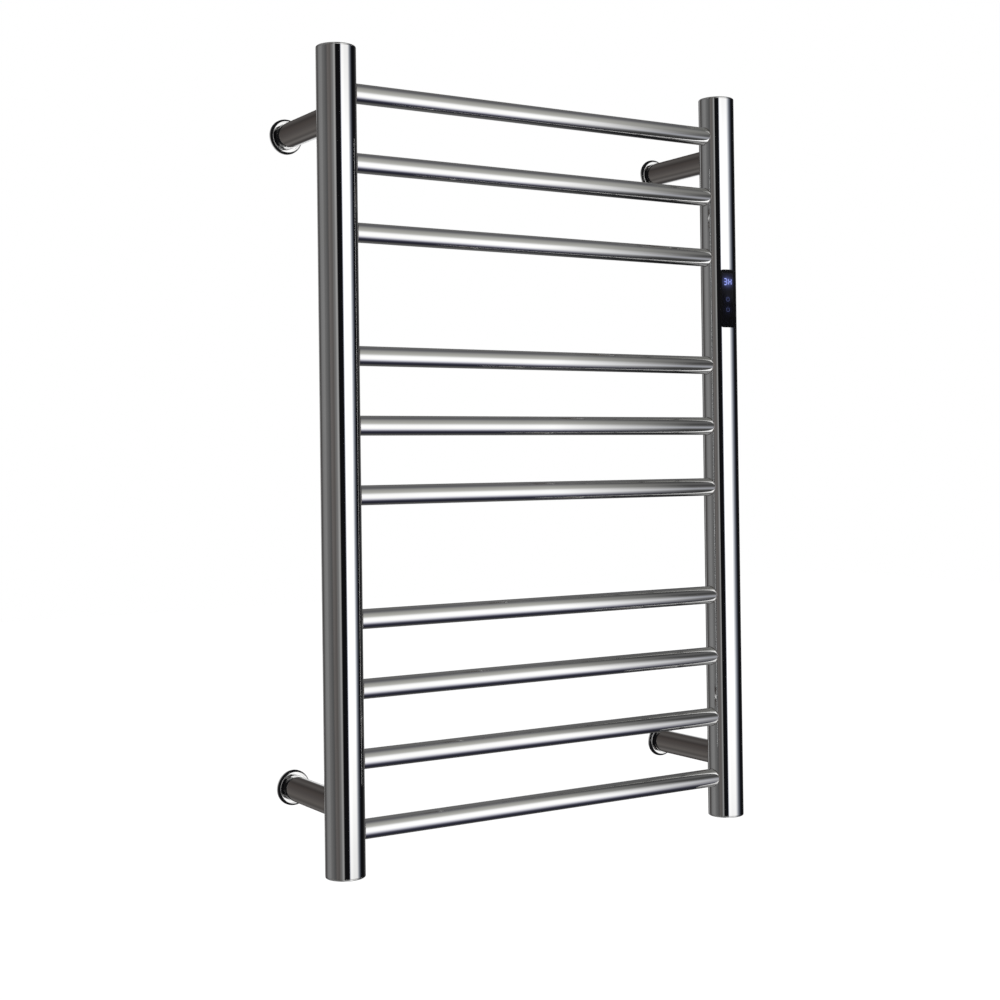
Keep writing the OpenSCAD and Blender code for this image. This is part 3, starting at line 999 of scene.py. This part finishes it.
def post_dome():
    """Room as the posts show it: dark in front and on the right, grey on the left and behind."""
    veil = Veil("room_veil")
    x, y, z = from_rack(veil)
    around = veil.angle(x, veil.math("MULTIPLY", y, -1))
    room = veil.ramp(around, greys([
        (-180, 150), (-176, 142), (-171, 76), (-164, (56, 52, 50)), (-150, 92), (-137, 116),
        (-120, 120), (-104, 98), (-88, 82), (-76, 40), (-60, 4), (60, 3), (85, 4), (100, 12),
        (113, 42), (128, 78), (142, 96), (155, 74), (164, (56, 51, 48)), (171, 76), (176, 142),
        (180, 150)]))
    above = veil.remap(z, 0.35, 0.9, 0.0, 1.0)
    below = veil.remap(z, -0.35, -0.9, 0.0, 1.0)
    # Floor of the studio, with a light in front and one at each side
    floor_glow = veil.ramp(around, greys([
        (-180, 66), (-140, 92), (-105, 168), (-60, 74), (-18, 224), (14, 238), (58, 80),
        (104, 150), (140, 92), (180, 66)]))
    ceiling = (linear(120), linear(120), linear(117))
    veil.glow(veil.mix(below, veil.mix(above, room, ceiling), floor_glow))
    return stage_dome("room_dome", 8.0, veil)


def wall_of_light(name, x0, x1, y, z0, z1, stops, fade_stops, strength=1.0):
    """An upright veil whose grey follows stops across x, and dims with height by fade_stops."""
    veil = Veil(name)
    x, _, z = veil.split(veil.place)
    across = veil.remap(x, x0, x1, 0.0, 1.0)
    colour = veil.ramp(across, greys(stops, x1 - x0, x0))
    height = veil.remap(z, z0, z1, 0.0, 1.0)
    fade = veil.ramp(height, [((place - z0) / (z1 - z0), (share, share, share))
                              for place, share in fade_stops])
    veil.glow(veil.mix(1.0, colour, fade, "MULTIPLY"), strength)
    verts = [Vector((x0, y, z0)), Vector((x1, y, z0)), Vector((x1, y, z1)), Vector((x0, y, z1))]
    return stage_veil(name, verts, [(0, 1, 2, 3)], veil)


def post_lights():
    softbox = wall_of_light(
        "softbox", -0.31, 4.4, RACK_Y - 1.15, -1.6, 1.6,
        [(-0.31, 0), (-0.26, (88, 90, 100)), (-0.2, (222, 224, 232)), (-0.14, 252), (0.0, 255),
         (0.25, 247), (0.84, 252), (1.22, (196, 199, 205)), (1.5, (146, 150, 157)),
         (1.86, (104, 108, 116)), (2.8, (46, 50, 60)), (4.4, 0)],
        [(-1.6, 0.2), (-0.85, 0.68), (-0.45, 0.97), (0.45, 1.0), (0.85, 0.74), (1.6, 0.2)], 1.12)
    reflector = wall_of_light(
        "grey_reflector", -6.0, -0.64, RACK_Y - 0.731, -1.8, 1.8,
        [(-6.0, 0), (-4.5, (80, 76, 74)), (-3.2, (84, 80, 78)), (-2.7, (99, 95, 93)),
         (-2.3, (86, 82, 80)), (-1.75, (91, 87, 85)), (-1.5, (84, 81, 79)),
         (-1.24, (102, 100, 99)), (-1.0, 112), (-0.85, 142), (-0.76, 160), (-0.7, 130),
         (-0.64, 20)],
        [(-1.8, 0.5), (-0.6, 0.86), (0.1, 0.95), (0.6, 1.0), (1.8, 0.7)])
    return [softbox, reflector, post_dome()]


def bar_lights():
    """Room round the rack as the bars show it: one look across them, another along them."""
    veil = Veil("bar_veil")
    x, y, z = from_rack(veil)
    around = veil.angle(z, veil.math("MULTIPLY", y, -1))
    across = veil.ramp(around, greys([
        (-180, 150), (-174, 140), (-166, 80), (-150, 92), (-128, (82, 82, 80)),
        (-110, (50, 50, 54)), (-94, (28, 28, 38)), (-80, (34, 35, 50)), (-66, (84, 84, 96)),
        (-54, (165, 165, 176)), (-44, (214, 214, 222)), (-31, 250), (-14, 255), (2, 250),
        (12, 226), (24, (180, 180, 176)), (42, (160, 160, 155)), (58, (146, 146, 143)), (72, 118),
        (88, (88, 88, 92)), (108, 92), (130, 104), (150, 90), (166, 100), (174, 142),
        (180, 150)]), False)
    along = veil.ramp(around, greys([
        (-180, 130), (-174, 112), (-166, 30), (-145, 24), (-112, 8), (-88, (36, 37, 39)),
        (-68, 54), (-50, 56), (-37, 84), (-25, (148, 150, 156)), (-13, (146, 147, 153)), (-1, 98),
        (12, 66), (26, 64), (38, 86), (50, 92), (62, 72), (79, 46), (95, 66), (112, 88),
        (150, 80), (166, 84), (174, 124), (180, 130)]), False)
    sideways = veil.math("ABSOLUTE", x)
    veil.glow(veil.mix(veil.remap(sideways, 0.56, 0.665, 0.0, 1.0), across, along))
    return [stage_dome("bar_dome", 2.8, veil)]


def standoff_lights():
    """Warm dark room as the standoffs show it: a light on the right, black at the front left."""
    veil = Veil("standoff_veil")
    x, y, z = from_rack(veil)
    walls = veil.ramp(veil.angle(z, x), greys([
        (-180, (72, 68, 66)), (-140, (88, 84, 81)), (-115, (72, 69, 67)), (-90, (98, 95, 93)),
        (-50, (50, 46, 45)), (-22, 90), (-12, 210), (8, 225), (22, 100), (45, (60, 56, 54)),
        (90, (78, 75, 73)), (125, (54, 50, 48)), (150, (66, 61, 58)),
        (180, (72, 68, 66))]), False)
    front_left = veil.remap(veil.lean(x, y, (-0.53, -0.85)), 0.55, 0.78, 0.0, 1.0)
    veil.glow(veil.mix(front_left, walls, (0.001, 0.001, 0.001)))
    return [stage_dome("standoff_dome", 4.0, veil)]


def rosette_lights():
    """Dark room as the rosettes show it: bright at the front right, dimmer behind and right."""
    veil = Veil("rosette_veil")
    x, y, _ = from_rack(veil)
    front_right = veil.band(veil.lean(x, y, (0.342, -0.94)), [
        (-1.0, 12), (0.68, 14), (0.76, 60), (0.83, 180), (0.89, 248), (1.0, 255)])
    behind = veil.band(veil.lean(x, y, (-0.26, 0.966)), [
        (-1.0, 0), (0.74, 0), (0.86, 110), (0.95, 200), (1.0, 225)])
    right = veil.band(x, [(-1.0, 0), (0.72, 0), (0.9, 120), (1.0, 170)])
    veil.glow(veil.mix(1.0, veil.mix(1.0, front_right, behind, "ADD"), right, "ADD"))
    return [stage_dome("rosette_dome", 3.5, veil)]


def panel_lights():
    """Dim light for the gloss black panel: brighter above, and bright on the far left."""
    veil = Veil("panel_veil")
    x, _, z = from_rack(veil)
    upward = veil.band(z, [(-1.0, 24), (0.19, 52), (0.23, 70), (0.27, 84), (0.4, 90), (1.0, 80)])
    veil.glow(veil.mix(veil.remap(x, -0.3, -0.7, 0.0, 1.0), upward, (1.4, 1.4, 1.6)))
    return [stage_dome("panel_dome", 1.2, veil)]


def shine_on(lights, group):
    """Makes lights fall on the pieces of one group only."""
    receivers = bpy.data.collections.new("lit_as_" + group)
    for piece in LIT[group]:
        receivers.objects.link(piece)
    for light in lights:
        light.light_linking.receiver_collection = receivers


def floor():
    """A pale floor below the rack, as bright as the background."""
    height = -1.0
    reach = 9.0
    look = Shader("pale_floor")
    look.shade(look.noise(2, 3), (0.85, 0.85, 0.85), (0.9, 0.9, 0.9))
    look.set(Roughness=0.9, Emission_Color=(1, 1, 1, 1), Emission_Strength=1.05)
    verts = [Vector((reach * x, reach * y, height)) for x, y in ((-1, -1), (1, -1), (1, 1), (-1, 1))]
    obj = add_object("floor", verts, [(0, 1, 2, 3)])
    obj.data.materials.append(look.material)
    obj.visible_glossy = False
    obj.visible_diffuse = False


world()
shine_on(post_lights(), "posts")
shine_on(bar_lights(), "bars")
shine_on(standoff_lights(), "standoffs")
shine_on(rosette_lights(), "rosettes")
shine_on(panel_lights(), "panel")
floor()


# ---- Camera ----

CAMERA_PLACE = (-0.9094, -1.4747, -0.0083)
YAW = 0.5594
PITCH = 0.0099
ROLL = -0.0129

camera = bpy.data.objects.new("camera", bpy.data.cameras.new("camera"))
bpy.context.scene.collection.objects.link(camera)
bpy.context.scene.camera = camera
forward = Vector((math.sin(YAW) * math.cos(PITCH), math.cos(YAW) * math.cos(PITCH), math.sin(PITCH)))
level = Vector((math.cos(YAW), -math.sin(YAW), 0))
upright = level.cross(forward)
camera_right = level * math.cos(ROLL) + upright * math.sin(ROLL)
camera_up = upright * math.cos(ROLL) - level * math.sin(ROLL)
camera.matrix_world = Matrix.Translation(CAMERA_PLACE) @ Matrix(
    (camera_right, camera_up, -forward)).transposed().to_4x4()
camera.data.lens = 57.94
camera.data.shift_x = 0.0036
camera.data.shift_y = -0.0537
bpy.context.scene.view_settings.view_transform = "Standard"
